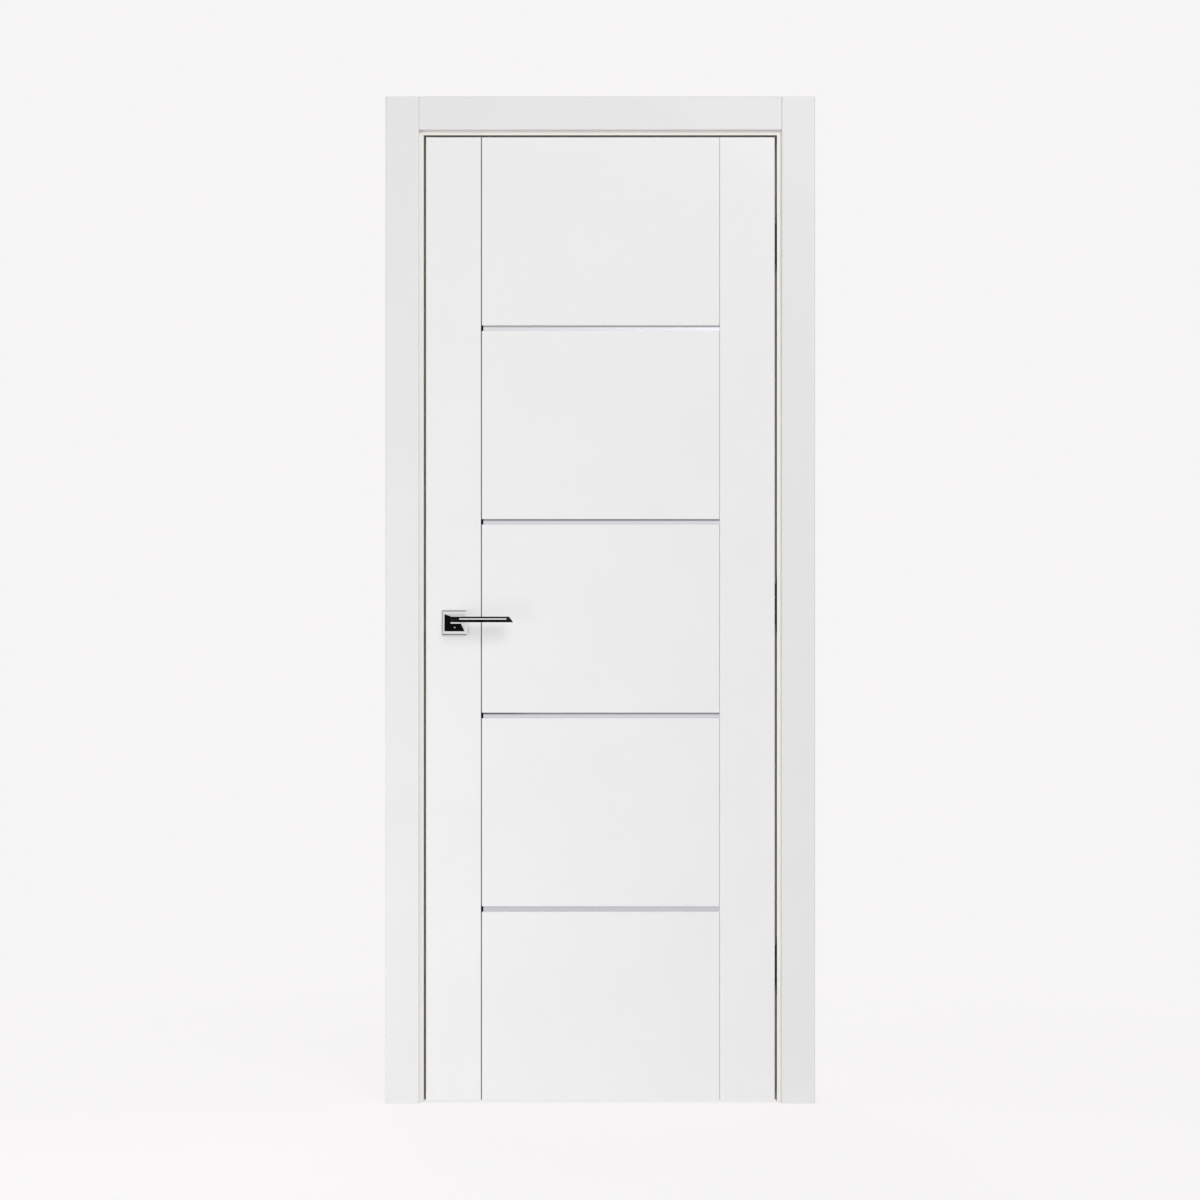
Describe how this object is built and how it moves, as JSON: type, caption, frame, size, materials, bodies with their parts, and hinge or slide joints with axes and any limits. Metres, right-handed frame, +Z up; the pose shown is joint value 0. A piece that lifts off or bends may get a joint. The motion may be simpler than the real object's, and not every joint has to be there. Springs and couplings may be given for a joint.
{
  "type": "prehung door",
  "caption": "White interior door leaf with horizontal metal inlays, hung on concealed hinges in its jamb with flat casings and a square-rose lever handle.",
  "frame": {"origin": "on the outer face of the hinge jamb, at floor level and halfway through the wall", "axes": "+Z up, +X out of the hinge jamb's outer face, -Y towards the side the leaf opens to"},
  "size_m": [0.898, 0.172, 2.105],
  "materials": {
    "leaf_lacquer": "white satin lacquer",
    "casing_lacquer": "white satin lacquer",
    "jamb_lacquer": "warm white satin lacquer",
    "seal_rubber": "matt",
    "inlay_aluminium": "satin anodised",
    "polished_chrome": "polished",
    "satin_steel": "satin",
    "hinge_zinc": "dark grey coated"
  },
  "bodies": {
    "frame": {"frame_hinge_1": "hinge_zinc", "frame_hinge_2": "hinge_zinc", "frame_hinge_3": "hinge_zinc", "front_casing_head": "casing_lacquer", "front_casing_hinge": "casing_lacquer", "front_casing_strike": "casing_lacquer", "head_jamb": "jamb_lacquer", "head_seal": "seal_rubber", "head_stop": "jamb_lacquer", "hinge_jamb": "jamb_lacquer", "hinge_seal": "seal_rubber", "hinge_stop": "jamb_lacquer", "rear_casing_head": "casing_lacquer", "rear_casing_hinge": "casing_lacquer", "rear_casing_strike": "casing_lacquer", "strike_jamb": "jamb_lacquer", "strike_plate": "satin_steel", "strike_seal": "seal_rubber", "strike_stop": "jamb_lacquer"},
    "leaf": {"front_rose": "polished_chrome", "hinge_stile": "leaf_lacquer", "inlay_1": "inlay_aluminium", "inlay_2": "inlay_aluminium", "inlay_3": "inlay_aluminium", "inlay_4": "inlay_aluminium", "latch_bolt": "satin_steel", "latch_faceplate": "satin_steel", "latch_stile": "leaf_lacquer", "leaf_hinge_1": "hinge_zinc", "leaf_hinge_2": "hinge_zinc", "leaf_hinge_3": "hinge_zinc", "panel_1": "leaf_lacquer", "panel_2": "leaf_lacquer", "panel_3": "leaf_lacquer", "panel_4": "leaf_lacquer", "panel_5": "leaf_lacquer", "rear_rose": "polished_chrome"},
    "levers": {"front_lever": "polished_chrome", "rear_lever": "polished_chrome", "spindle": "satin_steel"}
  },
  "joints": [
    {"name": "leaf_swing", "type": "hinge", "parent": "frame", "child": "leaf", "pos_m": [-0.0345, -0.0525, 1], "axis": [0, 0, 1], "range_deg": [0, 110]},
    {"name": "lever_turn", "type": "hinge", "parent": "leaf", "child": "levers", "pos_m": [-0.707, -0.03, 1.005], "axis": [0, 1, 0], "range_deg": [0, 40], "stiffness_Nm_per_rad": 1.5, "springref_deg": -28.65}
  ]
}
